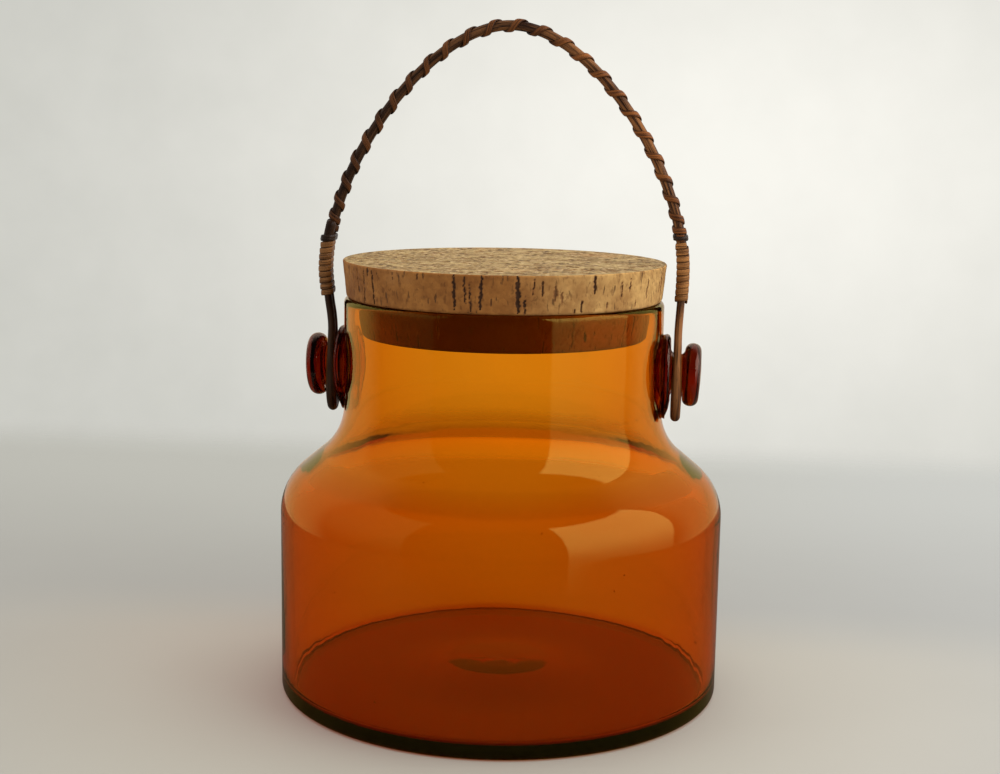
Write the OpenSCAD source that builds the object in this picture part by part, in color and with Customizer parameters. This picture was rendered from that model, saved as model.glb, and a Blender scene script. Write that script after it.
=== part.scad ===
// Apothecary jar: a blown amber glass body with two fused glass knobs,
// a stepped cork stopper, and a bent cane handle that hangs on the knobs.
// The handle is wound with a flat strip, and bound where each end is turned back on itself.
// Millimetres. +Z is up, the origin is at the middle of the foot, and the knobs lie on X.

/* [Glass body] */
// Outer radius of the body
body_r = 80; // [74:0.5:110]
// Height at which the straight side ends
side_h = 65.5; // [40:0.1:140]
// Outer radius of the shoulder's round
shoulder_round = 19.5; // [12:0.5:24]
// Outer radius of the hollow curve from shoulder to neck
throat_round = 22.1; // [12:0.1:26]
// Slope of the shoulder between the two rounds, in degrees from upright
shoulder_slope = 50; // [35:1:60]
// Thickness of the glass wall of the body
wall_t = 4; // [2.5:0.1:6]
// Thickness of the glass floor
floor_t = 3.8; // [3:0.1:9]
// Radius of the outer edge of the foot
foot_round = 2; // [1:0.1:3.5]
// Radius of the inside corner between floor and side
floor_round = 3; // [2:0.5:14]
// Radius of the push-up in the middle of the floor
kick_r = 45; // [12:1:56]
// Height of the push-up
kick_h = 2; // [0.5:0.1:5]

/* [Glass neck] */
// Outer radius of the neck
neck_r = 57.3; // [46:0.1:64]
// Length of the straight neck, up to the top of the rim
neck_len = 38.8; // [34:0.2:60]
// Thickness of the glass wall of the neck
neck_wall_t = 2.8; // [2.8:0.1:4.5]
// Outer round of the fire-polished rim
rim_out_round = 2.2; // [0.5:0.1:2.2]
// Inner round of the rim
rim_in_round = 0.5; // [0.2:0.1:0.5]

/* [Knobs] */
// Height of the knobs' axis above the start of the straight neck
knob_up = 13.3; // [12:0.1:16]
// Thickness of the pad, at its middle
pad_t = 2.8; // [1.6:0.1:5]
// Radius of the waist, at the bottom of its groove
waist_r = 6.5; // [5:0.1:9.5]
// How far the pad stands out beyond the waist
pad_step = 6.9; // [4:0.1:8]
// How far the button stands out beyond the waist
button_step = 4.8; // [3:0.1:6]
// Thickness of the button
button_t = 6.2; // [4.8:0.1:9]
// Radius of the button's outer edge
button_round = 2.8; // [1:0.1:3.2]
// Play of the cane in the groove of the waist
groove_play = 0.55; // [0.4:0.05:0.8]
// Radius of the drip below each pad
drip_r = 7; // [4:0.1:9]
// How far the middle of the drip lies below the knob's axis
drip_down = 10.5; // [8:0.1:11]
// Thickness of the drip
drip_t = 2.3; // [0.8:0.1:2.6]

/* [Cork stopper] */
// How far the cap's top edge stands out beyond the neck
cap_over = 0.4; // [0.2:0.1:1.5]
// Height of the cap above the rim
cap_h = 13.2; // [8:0.1:16]
// Radius that the cap loses from top to bottom
cap_taper = 1.2; // [0:0.1:1.6]
// Round of the cap's lower edge
cap_round = 1.2; // [0.5:0.1:1.8]
// Bevel of the cap's and the plug's edges
cork_bevel = 0.6; // [0.3:0.1:1.5]
// Length of the plug below the rim
plug_len = 13.2; // [8:0.1:18]
// Play between the top of the plug and the neck
plug_play = 1.4; // [0.5:0.1:3]
// Radius that the plug loses from top to bottom
plug_taper = 2.2; // [0.5:0.1:4]

/* [Cane handle] */
// Thickness of the cane
cane_d = 3.6; // [3:0.1:4.4]
// Gap between the cane and the end that is turned back beside it
cane_gap = 0.1; // [0.05:0.05:0.3]
// How far the loop hangs below a close fit round the waist
loop_drop = 7.1; // [2:0.1:9]
// Height of the binding's bottom above the knobs' axis
crotch_up = 24.7; // [21:0.1:30]
// How far the two strands of a leg run side by side below the binding
pinch_len = 7; // [0:0.1:9]
// Height above the knobs' axis at which the legs start to bend inwards
bend_up = 34.7; // [31:0.1:42]
// Height of the arch's centre line above the knobs' axis
arch_up = 120.8; // [112:0.2:170]
// Length of the pull that keeps the legs upright at the foot of the arch
foot_pull = 35; // [28:0.5:44]
// Length of the pull that keeps the crown of the arch flat
crown_pull = 29.3; // [24:0.1:38]
// How far each leg bows outwards between the knob and the arch
bow_out = 1.75; // [0:0.05:2.4]
// How far the legs lean towards the left at the foot of the arch
lean_left = 0.8; // [0:0.1:1]
// How far the crown is pushed to the right
crown_right = 0.8; // [0:0.1:3]
// Length over which the cane comes back to the middle above its cut end
merge_len = 26; // [12:1:40]

/* [Strip windings] */
// Width of the flat strip of the spiral
wrap_w = 2.3; // [1.6:0.05:3]
// Width of the flat strip of the bindings
binding_w = 1.7; // [1.2:0.05:1.7]
// Thickness of the strip
strip_t = 0.8; // [0.5:0.05:1]
// Seating gap between the strip and the cane
wind_gap = 0.15; // [0.12:0.01:0.3]
// Turns in each binding
binding_turns = 8.5; // [6:0.5:10]
// Rise of each turn in a binding
binding_pitch = 2.15; // [2.15:0.05:3]
// Turns in the tie above each binding
tie_turns = 2; // [2:0.5:3]
// Width of the tie's strip
tie_w = 1.2; // [0.8:0.05:1.2]
// Rise of each turn in a tie
tie_pitch = 1.7; // [1.7:0.05:2.5]
// Clear space between one winding and the next along the cane
winding_space = 0.5; // [0.3:0.1:2]
// Length of the cane's cut end above the tie
stub_len = 1.6; // [0.5:0.1:4]
// Turns of the spiral along the arch
wrap_turns = 24; // [16:1:24]
// Rise of the spiral's first and last turns
close_pitch = 4.5; // [4:0.1:7]
// Turns over which the spiral opens to its full rise
opening_turns = 1.5; // [0.5:0.1:3]

/* [Hidden] */

amber = [0.72, 0.36, 0.05, 0.6];
dark_amber = [0.36, 0.05, 0.02];
cork_tan = [0.74, 0.58, 0.38];
cane_brown = [0.25, 0.14, 0.09];
strip_brown = [0.5, 0.29, 0.14];
tie_brown = [0.13, 0.08, 0.06];

round_fn = 96;
arc_steps = 8;
edge_steps = 4;
cane_sides = 10;
arch_steps = 18;
wrap_rings = 12;    // rings in each turn of the spiral
binding_rings = 14; // rings in each turn of a binding or a tie

// Heights of the glass
slope_len = (body_r - neck_r - (shoulder_round + throat_round) * (1 - cos(shoulder_slope)))
    / sin(shoulder_slope);
neck_z = side_h + (shoulder_round + throat_round) * sin(shoulder_slope)
    + slope_len * cos(shoulder_slope);
rim_z = neck_z + neck_len;
bore_r = neck_r - neck_wall_t;

// Places of the knobs, out from the jar's axis
knob_z = neck_z + knob_up;
cane_r = cane_d / 2;
groove_r = cane_r + groove_play;
pad_face = neck_r + pad_t;
groove_x = pad_face + groove_r;
button_face = groove_x + groove_r;
loop_r = waist_r + groove_r;
button_r = waist_r + button_step;
pad_r = waist_r + pad_step;

// Places along the handle
leg_y = cane_r + cane_gap / 2;
bow_z = knob_z + button_r + 1;
crotch_z = knob_z + crotch_up;
bend_z = knob_z + bend_up;
apex_z = knob_z + arch_up;
crotch_ease = 5;
foot_x = groove_x + bow_out;
wind_r = cane_r + wind_gap + strip_t / 2;
binding_z = crotch_z + binding_w / 2;
binding_top = binding_z + binding_turns * binding_pitch + binding_w / 2;
tie_z = binding_top + winding_space + tie_w / 2;
tie_top = tie_z + tie_turns * tie_pitch + tie_w / 2;
wrap_z = tie_top + winding_space + wrap_w / 2;
tail_z = tie_top + stub_len;

// ---- shared functions ----

function unit(v) = v / norm(v);
function clamp01(t) = min(1, max(0, t));
function ease(t) = let (u = clamp01(t)) u * u * (3 - 2 * u);
function arc(c, r, a0, a1, n = arc_steps) =
    [for (i = [0:n]) let (a = a0 + (a1 - a0) * i / n) c + r * [cos(a), sin(a)]];
function bezier3(a, b, c, d, t) =
    pow(1 - t, 3) * a + 3 * pow(1 - t, 2) * t * b + 3 * (1 - t) * t * t * c + pow(t, 3) * d;
function bezier2(a, b, c, t) = pow(1 - t, 2) * a + 2 * (1 - t) * t * b + t * t * c;
function reversed(list) = [for (i = [len(list) - 1:-1:0]) list[i]];

// Direction of a path at each of its points
function tangents(path) = let (last = len(path) - 1)
    [for (i = [0:last]) unit(path[min(last, i + 1)] - path[max(0, i - 1)])];

// Normals that turn as little as they can along a path
function carried(tans, first) =
    [for (i = 0, n = unit(first - (first * tans[0]) * tans[0]);
          i < len(tans);
          i = i + 1, n = i < len(tans) ? unit(n - (n * tans[i]) * tans[i]) : n) n];

// Rings of a section, swept along a path: the section's x lies along the normal
function rings(path, normals, section) = let (tans = tangents(path))
    [for (i = [0:len(path) - 1])
        let (n = unit(normals[i] - (normals[i] * tans[i]) * tans[i]), b = cross(tans[i], n))
        [for (s = section) path[i] + s[0] * n + s[1] * b]];

// One closed tube of triangles through a list of rings
module tube(ring_list) {
    m = len(ring_list[0]);
    last = len(ring_list) - 1;
    sides = [for (i = [0:last - 1], j = [0:m - 1])
        let (a = i * m + j, b = i * m + (j + 1) % m)
        each [[a, b, a + m], [b, b + m, a + m]]];
    start_cap = [for (j = [1:m - 2]) [0, j + 1, j]];
    end_cap = [for (j = [1:m - 2]) [last * m, last * m + j, last * m + j + 1]];
    polyhedron(points = [for (r = ring_list) each r], faces = concat(sides, start_cap, end_cap));
}

// Six-sided section of a flat strip
function strip_section(w, t) = let (flat = 0.36 * w)
    [[-t / 2, -flat], [0, -w / 2], [t / 2, -flat], [t / 2, flat], [0, w / 2], [-t / 2, flat]];

// Least distance between points of a winding that are half a turn or more apart
function least_gap(ring_list, per_turn) =
    min([for (i = [0:len(ring_list) - 1],
              j = [i + per_turn / 2:1:min(len(ring_list) - 1, i + 3 * per_turn / 2)],
              a = ring_list[i], b = ring_list[j]) norm(a - b)]);

// ---- glass ----

function kick_curve(z0) =
    [for (i = [0:arc_steps]) let (r = kick_r * i / arc_steps)
        [r, z0 + kick_h * (1 + cos(180 * i / arc_steps)) / 2]];

shoulder_c = [body_r - shoulder_round, side_h];
throat_c = [neck_r + throat_round, neck_z];

function glass_outside() = concat(
    arc([body_r - foot_round, foot_round], foot_round, -90, 0, edge_steps),
    arc(shoulder_c, shoulder_round, 0, shoulder_slope),
    arc(throat_c, throat_round, 180 + shoulder_slope, 180),
    arc([neck_r - rim_out_round, rim_z - rim_out_round], rim_out_round, 0, 90, edge_steps));

function glass_inside() = concat(
    arc([bore_r + rim_in_round, rim_z - rim_in_round], rim_in_round, 90, 180, edge_steps),
    arc(throat_c, throat_round + neck_wall_t, 180, 180 + shoulder_slope),
    arc(shoulder_c, shoulder_round - wall_t, shoulder_slope, 0),
    arc([body_r - wall_t - floor_round, floor_t + floor_round], floor_round, 0, -90, edge_steps));

module glass_jar() {
    color(amber)
        rotate_extrude($fn = round_fn)
            polygon(concat(kick_curve(0), glass_outside(), glass_inside(),
                           reversed(kick_curve(floor_t))));
}

// The space inside the glass's outer surface
module glass_bulk() {
    rotate_extrude($fn = round_fn)
        polygon(concat([[0, 0]], glass_outside(), [[0, rim_z]]));
}

// Outline of a knob: radius, and distance out from the jar's axis
function knob_profile() = let (
        root = neck_r - 3 * pad_t,
        edge = pad_t / 4,
        crown = button_face + button_t,
        dome = button_round / 3)
    concat(
        [[0, root], [pad_r, root]],
        arc([pad_r - edge, pad_face - edge], edge, 0, 90, edge_steps),
        arc([loop_r, groove_x], groove_r, 270, 90, 2 * arc_steps),
        arc([button_r - edge, button_face + edge], edge, -90, 0, edge_steps),
        arc([button_r - button_round, crown - dome - button_round], button_round, 0, 70, edge_steps),
        [[(button_r - button_round) / 2, crown - dome / 4], [0, crown]]);

module knob() {
    color(dark_amber)
        difference() {
            union() {
                translate([0, 0, knob_z])
                    rotate([0, 90, 0])
                        rotate_extrude($fn = round_fn)
                            polygon(knob_profile());
                translate([neck_r - 2 * pad_t, 0, knob_z - drip_down])
                    rotate([0, 90, 0])
                        cylinder(r = drip_r, h = 2 * pad_t + drip_t, $fn = round_fn);
            }
            glass_bulk();
        }
}

module right_knob() {
    knob();
}

module left_knob() {
    rotate([0, 0, 180])
        knob();
}

// ---- cork ----

module cork_stopper() {
    cap_top_r = neck_r + cap_over;
    cap_low_r = cap_top_r - cap_taper;
    plug_top_r = bore_r - plug_play;
    plug_low_r = plug_top_r - plug_taper;
    plug_z = rim_z - plug_len;
    cap_z = rim_z + cap_h;
    color(cork_tan)
        rotate_extrude($fn = round_fn)
            polygon(concat(
                [[0, plug_z], [plug_low_r - cork_bevel, plug_z], [plug_low_r, plug_z + cork_bevel],
                 [plug_top_r, rim_z]],
                arc([cap_low_r - cap_round, rim_z + cap_round], cap_round, -90, 0, edge_steps),
                [[cap_top_r, cap_z - cork_bevel], [cap_top_r - cork_bevel, cap_z], [0, cap_z]]));
}

// ---- cane ----

// Distance of a leg from the jar's axis: side is 1 at the right and -1 at the left
function leg_x(side, z) = let (g = clamp01((z - bow_z) / (bend_z - bow_z)))
    side * (groove_x + bow_out * g) - lean_left * g;

// Half of the arch, from its foot to its crown, shifted with the lean and the crown
function arch_half(side) =
    [for (i = [0:arch_steps])
        let (p = bezier3([foot_x, bend_z], [foot_x, bend_z + foot_pull],
                         [crown_pull, apex_z], [0, apex_z], i / arch_steps),
             u = (p[1] - bend_z) / (apex_z - bend_z))
        [side * p[0] - lean_left * (1 - u) + crown_right * u,
         -side * leg_y * (1 - ease((p[1] - tail_z) / merge_len)), p[1]]];

// Half of the loop round a knob, from the middle of its bottom to the binding:
// distance from the knob's middle, and height above its axis
function half_loop() = let (
        crotch = [leg_y, crotch_up - pinch_len],
        touch = atan2(crotch[1], crotch[0]) - acos(loop_r / norm(crotch)),
        down = unit(loop_r * [cos(touch), sin(touch)] - crotch))
    concat(
        arc([0, -loop_drop], loop_r, -90, 0, edge_steps),
        arc([0, 0], loop_r, 0, touch, 2),
        [for (i = [0:edge_steps])
            bezier2(crotch + crotch_ease * down, crotch, crotch + [0, crotch_ease], i / edge_steps)]);

// One end of the cane, from the foot of the arch, round the knob, to its cut end
function cane_end(side) = let (half = half_loop(), last = len(half) - 1, stub = tail_z - bend_z)
    concat(
        [for (i = [last:-1:0]) [leg_x(side, knob_z + half[i][1]), -side * half[i][0],
                                knob_z + half[i][1]]],
        [for (i = [1:last]) [leg_x(side, knob_z + half[i][1]), side * half[i][0],
                             knob_z + half[i][1]]],
        [[leg_x(side, bend_z), side * leg_y, bend_z]],
        stub > 0 ? tail_over(side) : []);

// The cut end above the foot of the arch runs beside the arch
function tail_over(side) = let (arch = arch_half(side))
    [for (h = [0.5, 1]) let (z = bend_z + (tail_z - bend_z) * h)
        [lookup(z, [for (p = arch) [p[2], p[0]]]), side * leg_y, z]];

arch_path = concat(arch_half(-1), reversed([for (i = [0:arch_steps - 1]) arch_half(1)[i]]));
cane_path = concat(reversed(cane_end(-1)), arch_path, cane_end(1));

module handle_cane() {
    section = [for (i = [0:cane_sides - 1])
        cane_r * [cos(360 * i / cane_sides), sin(360 * i / cane_sides)]];
    color(cane_brown)
        tube(rings(cane_path, carried(tangents(cane_path), [1, 0, 0]), section));
}

// ---- strip ----

// The cane's centre line from binding to binding, with its length so far
function running(path) =
    [for (i = 0, s = 0; i < len(path);
          i = i + 1, s = i < len(path) ? s + norm(path[i] - path[i - 1]) : s) s];
arch_run = running(arch_path);
function axis_table(k) = [for (i = [0:len(arch_path) - 1]) [arch_run[i], arch_path[i][k]]];
table_x = axis_table(0);
table_y = axis_table(1);
table_z = axis_table(2);
function on_arch(s) = [lookup(s, table_x), lookup(s, table_y), lookup(s, table_z)];

// Length along the arch at which each half reaches the start of the spiral
left_start = lookup(wrap_z, [for (i = [0:arch_steps]) [arch_path[i][2], arch_run[i]]]);
right_start = lookup(wrap_z,
    [for (i = [0:arch_steps]) let (k = len(arch_path) - 1 - i) [arch_path[k][2], arch_run[k]]]);

// The spiral rises slowly at both ends and evenly between them
wrap_fade = 1 - exp(-wrap_turns / opening_turns);
open_pitch = (right_start - left_start - 2 * close_pitch * opening_turns * wrap_fade)
    / (wrap_turns - 2 * opening_turns * wrap_fade);
slack = (open_pitch - close_pitch) * opening_turns;
function wrap_s(n) = left_start + open_pitch * n - slack * (1 - exp(-n / opening_turns))
    - slack * (exp((n - wrap_turns) / opening_turns) - exp(-wrap_turns / opening_turns));

// Direction from the cane's centre to the spiral: inwards, then forwards, outwards, backwards
function wrap_out(n) = let (
        s = wrap_s(n),
        along = unit(on_arch(s + 1) - on_arch(s - 1)),
        outward = unit(cross(along, [0, 1, 0])))
    -cos(360 * n) * outward - sin(360 * n) * [0, 1, 0];

wrap_count = wrap_turns * wrap_rings;
wrap_normals = [for (i = [0:wrap_count]) wrap_out(i / wrap_rings)];
wrap_path = [for (i = [0:wrap_count]) on_arch(wrap_s(i / wrap_rings)) + wind_r * wrap_normals[i]];
function wrap_ring_list() = rings(wrap_path, wrap_normals, strip_section(wrap_w, strip_t));

module spiral_wrap() {
    ring_list = wrap_ring_list();
    echo(spiral_wrap_gap = least_gap(ring_list, wrap_rings));
    color(strip_brown)
        tube(ring_list);
}

// A point on the oval round the two canes, and its outward direction, at a part f of a turn
function oval(f) = let (
        half = PI * wind_r,
        full = 2 * half + 4 * leg_y,
        d = (f - floor(f)) * full,
        a = 180 * (d < half ? d : d - half - 2 * leg_y) / half)
    d < half ? [[cos(a), sin(a)] * wind_r + [0, leg_y], [cos(a), sin(a)]]
    : d < half + 2 * leg_y ? [[-wind_r, leg_y - (d - half)], [-1, 0]]
    : d < 2 * half + 2 * leg_y ? [-[cos(a), sin(a)] * wind_r - [0, leg_y], -[cos(a), sin(a)]]
    : [[wind_r, -leg_y + (d - 2 * half - 2 * leg_y)], [1, 0]];

// Middle of the two canes at a height
function pair_x(side, z) =
    z < bend_z ? leg_x(side, z) : lookup(z, [for (p = arch_half(side)) [p[2], p[0]]]);

// Rings of turns round both canes
function oval_rings(side, z0, pitch, turns, w) = let (
        n = turns * binding_rings,
        places = [for (i = [0:n]) oval(i / binding_rings)],
        path = [for (i = [0:n]) let (z = z0 + pitch * i / binding_rings)
            [pair_x(side, z) + side * places[i][0][0], side * places[i][0][1], z]],
        normals = [for (p = places) side * [p[1][0], p[1][1], 0]])
    rings(path, normals, strip_section(w, strip_t));

module binding(side) {
    ring_list = oval_rings(side, binding_z, binding_pitch, binding_turns, binding_w);
    echo(binding_gap = least_gap(ring_list, binding_rings));
    color(strip_brown)
        tube(ring_list);
}

module tie(side) {
    ring_list = oval_rings(side, tie_z, tie_pitch, tie_turns, tie_w);
    echo(tie_gap = least_gap(ring_list, binding_rings));
    color(tie_brown)
        tube(ring_list);
}

module left_binding() {
    binding(-1);
}

module right_binding() {
    binding(1);
}

module left_tie() {
    tie(-1);
}

module right_tie() {
    tie(1);
}

glass_jar();
left_knob();
right_knob();
cork_stopper();
handle_cane();
spiral_wrap();
left_binding();
right_binding();
left_tie();
right_tie();
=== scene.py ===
"""Looks of the apothecary jar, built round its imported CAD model.

Sizes and places are in millimetres and angles in degrees, unless a comment says otherwise. Meshes are
made in metres, and materials measure in metres. The first sizes below repeat the part's own values.
"""
import math

import bpy
import numpy as np
from mathutils import Matrix


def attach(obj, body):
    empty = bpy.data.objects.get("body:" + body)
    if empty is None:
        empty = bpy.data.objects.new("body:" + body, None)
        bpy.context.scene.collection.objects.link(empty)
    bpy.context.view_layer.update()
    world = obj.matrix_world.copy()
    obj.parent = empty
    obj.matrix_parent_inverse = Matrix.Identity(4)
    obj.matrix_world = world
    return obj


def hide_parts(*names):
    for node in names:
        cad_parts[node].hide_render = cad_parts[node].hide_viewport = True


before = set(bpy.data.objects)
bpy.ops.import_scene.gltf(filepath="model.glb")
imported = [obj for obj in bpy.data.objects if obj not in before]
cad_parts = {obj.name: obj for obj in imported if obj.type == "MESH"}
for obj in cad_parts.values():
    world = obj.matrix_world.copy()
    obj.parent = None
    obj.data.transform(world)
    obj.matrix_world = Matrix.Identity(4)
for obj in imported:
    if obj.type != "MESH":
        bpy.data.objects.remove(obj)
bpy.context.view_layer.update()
MM = 0.001

# ---- sizes of the glass ----
BODY_R = 80.0
SIDE_H = 65.5
SHOULDER_ROUND = 19.5
THROAT_ROUND = 22.1
SHOULDER_SLOPE = 50.0
WALL_T = 4.0
FLOOR_T = 3.8
FOOT_ROUND = 2.0
FLOOR_ROUND = 3.0
KICK_R = 45.0
KICK_H = 2.0
NECK_R = 57.3
NECK_LEN = 38.8
NECK_WALL_T = 2.8
RIM_OUT_ROUND = 2.2
RIM_IN_ROUND = 0.5

# ---- sizes of the knobs ----
KNOB_UP = 13.3
PAD_T = 2.8
WAIST_R = 6.5
PAD_STEP = 6.9
BUTTON_STEP = 4.8
BUTTON_T = 6.2
GROOVE_PLAY = 0.55
DRIP_R = 7.0
DRIP_DOWN = 10.5
DRIP_T = 2.3

# ---- sizes of the cork ----
CAP_OVER = 0.4
CAP_H = 13.2
CAP_TAPER = 1.2
CAP_ROUND = 1.2
CORK_BEVEL = 0.6
PLUG_LEN = 13.2
PLUG_PLAY = 1.4
PLUG_TAPER = 2.2

# ---- sizes of the handle ----
CANE_D = 3.6
CANE_GAP = 0.1
LOOP_DROP = 7.1
CROTCH_UP = 24.7
PINCH_LEN = 7.0
BEND_UP = 34.7
ARCH_UP = 120.8
FOOT_PULL = 35.0
CROWN_PULL = 29.3
BOW_OUT = 1.75
LEAN_LEFT = 0.8
CROWN_RIGHT = 0.8
MERGE_LEN = 26.0
CROTCH_EASE = 5.0
WRAP_W = 2.3
BINDING_W = 1.7
BINDING_TURNS = 8.5
BINDING_PITCH = 2.15
TIE_TURNS = 2.0
TIE_W = 1.2
TIE_PITCH = 1.7
WINDING_SPACE = 0.5
STUB_LEN = 1.6
WRAP_TURNS = 24
CLOSE_PITCH = 4.5
OPENING_TURNS = 1.5

# ---- places that follow ----
SLOPE_LEN = (
    BODY_R - NECK_R - (SHOULDER_ROUND + THROAT_ROUND) * (1 - math.cos(math.radians(SHOULDER_SLOPE)))
) / math.sin(math.radians(SHOULDER_SLOPE))
NECK_Z = (
    SIDE_H
    + (SHOULDER_ROUND + THROAT_ROUND) * math.sin(math.radians(SHOULDER_SLOPE))
    + SLOPE_LEN * math.cos(math.radians(SHOULDER_SLOPE))
)
RIM_Z = NECK_Z + NECK_LEN
BORE_R = NECK_R - NECK_WALL_T
KNOB_Z = NECK_Z + KNOB_UP
CANE_R = CANE_D / 2
GROOVE_R = CANE_R + GROOVE_PLAY
PAD_FACE = NECK_R + PAD_T
GROOVE_X = PAD_FACE + GROOVE_R
BUTTON_FACE = GROOVE_X + GROOVE_R
LOOP_R = WAIST_R + GROOVE_R
BUTTON_R = WAIST_R + BUTTON_STEP
PAD_R = WAIST_R + PAD_STEP
LEG_Y = CANE_R + CANE_GAP / 2
BOW_Z = KNOB_Z + BUTTON_R + 1
BEND_Z = KNOB_Z + BEND_UP
APEX_Z = KNOB_Z + ARCH_UP
CROTCH_Z = KNOB_Z + CROTCH_UP
FOOT_X = GROOVE_X + BOW_OUT
BINDING_Z = CROTCH_Z + BINDING_W / 2
BINDING_TOP = BINDING_Z + BINDING_TURNS * BINDING_PITCH + BINDING_W / 2
TIE_Z = BINDING_TOP + WINDING_SPACE + TIE_W / 2
TIE_TOP = TIE_Z + TIE_TURNS * TIE_PITCH + TIE_W / 2
WRAP_Z = TIE_TOP + WINDING_SPACE + WRAP_W / 2
TAIL_Z = TIE_TOP + STUB_LEN

# ---- the photograph's camera, turned about the jar's axis; its pitch, yaw and roll are in radians ----
VIEW_TURN = 5.5
VIEW_DISTANCE = 569.5
VIEW_HEIGHT = 205.1
VIEW_PITCH = 0.165556
VIEW_YAW = -0.00183533
VIEW_ROLL = 0.0158851
VIEW_FOCAL_PX = 1593.58
PICTURE_W = 1000
SENSOR_MM = 36.0


# ======== helpers for meshes ========

def arc(centre, radius, start, end, steps):
    """Points of an arc, angles in degrees."""
    angles = np.radians(np.linspace(start, end, steps + 1))
    return np.array(centre) + radius * np.stack([np.cos(angles), np.sin(angles)], -1)


def densified(profile, step):
    """The profile with extra points, so that none lie further apart than step."""
    points = [profile[0]]
    for a, b in zip(profile[:-1], profile[1:]):
        count = max(1, math.ceil(float(np.linalg.norm(b - a)) / step))
        for k in range(1, count + 1):
            points.append(a + (b - a) * k / count)
    return np.array(points)


def unit(vectors):
    return vectors / np.linalg.norm(vectors, axis=-1, keepdims=True)


def ease(t):
    u = np.clip(t, 0, 1)
    return u * u * (3 - 2 * u)


def new_object(name, data):
    made = bpy.data.objects.new(name, data)
    bpy.context.scene.collection.objects.link(made)
    return made


def new_mesh(name, points, faces):
    """A mesh from points in millimetres."""
    mesh = bpy.data.meshes.new(name)
    mesh.from_pydata((np.asarray(points) * MM).tolist(), [], faces)
    return mesh


def mesh_piece(name, points, faces, body, nodes, material):
    """A piece of the object, which rides on a body and stands for CAD nodes."""
    mesh = new_mesh(name, points, faces)
    mesh.validate()
    mesh.polygons.foreach_set("use_smooth", [True] * len(mesh.polygons))
    mesh.update()
    mesh.materials.append(material)
    piece = new_object(name, mesh)
    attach(piece, body)
    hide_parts(*nodes)
    return piece


def add_attribute(piece, name, kind, values, domain="POINT"):
    """An attribute for the piece's material."""
    attribute = piece.data.attributes.new(name, kind, domain)
    field = "vector" if kind == "FLOAT_VECTOR" else "value"
    attribute.data.foreach_set(field, np.asarray(values, np.float32).ravel())


def grid_faces(rows, columns):
    """Quads of a grid that closes on itself along its columns."""
    faces = []
    for i in range(rows - 1):
        a = i * columns
        for j in range(columns):
            k = (j + 1) % columns
            faces.append((a + j, a + k, a + columns + k, a + columns + j))
    return faces


def turned_grid(profile, segments, start=0.0):
    """The angles of a turned body, then the radius and the height of every point between its poles."""
    turns = np.linspace(start, start + 2 * np.pi, segments, endpoint=False)
    radii = np.repeat(profile[1:-1, 0:1], segments, axis=1)
    heights = np.repeat(profile[1:-1, 1:2], segments, axis=1)
    return turns, radii, heights


def with_poles(points, poles, segments):
    """The points of a turned body with its two poles, and all its faces."""
    faces = grid_faces(len(points) // segments, segments)
    pole = len(points)
    last = pole - segments
    for j in range(segments):
        k = (j + 1) % segments
        faces.append((pole, k, j))
        faces.append((pole + 1, last + j, last + k))
    return np.vstack([points, poles]), faces


def turned_body(turns, radii, heights, low, high):
    """Points and faces of a body turned about the upright axis, with its poles at low and high."""
    points = np.stack([radii * np.cos(turns), radii * np.sin(turns), heights], -1).reshape(-1, 3)
    return with_poles(points, [[0, 0, low], [0, 0, high]], len(turns))


def tangents(path):
    ahead = np.vstack([path[1:], path[-1:]])
    behind = np.vstack([path[:1], path[:-1]])
    return unit(ahead - behind)


def carried_normals(path, first):
    """Normals that turn as little as they can along a path."""
    tans = tangents(path)
    normals = np.zeros_like(path)
    normal = np.array(first, float)
    for i, tan in enumerate(tans):
        normal = normal - (normal @ tan) * tan
        normal = normal / np.linalg.norm(normal)
        normals[i] = normal
    return normals


def swept(path, normals, section):
    """Points and faces of a closed tube. section is one outline, or one for each point of the path."""
    tans = tangents(path)
    across = unit(normals - (normals * tans).sum(-1, keepdims=True) * tans)
    beside = np.cross(tans, across)
    outline = np.asarray(section, float)
    if outline.ndim == 2:
        outline = np.broadcast_to(outline, (len(path),) + outline.shape)
    points = (
        path[:, None, :]
        + outline[:, :, 0:1] * across[:, None, :]
        + outline[:, :, 1:2] * beside[:, None, :]
    ).reshape(-1, 3)
    sides = outline.shape[1]
    rows = len(path)
    faces = grid_faces(rows, sides)
    faces.append(tuple(range(sides - 1, -1, -1)))
    faces.append(tuple((rows - 1) * sides + j for j in range(sides)))
    return points, faces


def lengths_along(path):
    steps = np.linalg.norm(np.diff(path, axis=0), axis=1)
    return np.concatenate([[0.0], np.cumsum(steps)])


def resampled(path, step):
    """The path with points at equal steps, its small kinks rounded."""
    run = lengths_along(path)
    count = int(run[-1] / step) + 1
    places = np.linspace(0, run[-1], count)
    even = np.stack([np.interp(places, run, path[:, k]) for k in range(3)], -1)
    for _ in range(4):
        even[1:-1] = (even[:-2] + 2 * even[1:-1] + even[2:]) / 4
    return even


# ======== helpers for materials ========

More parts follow.
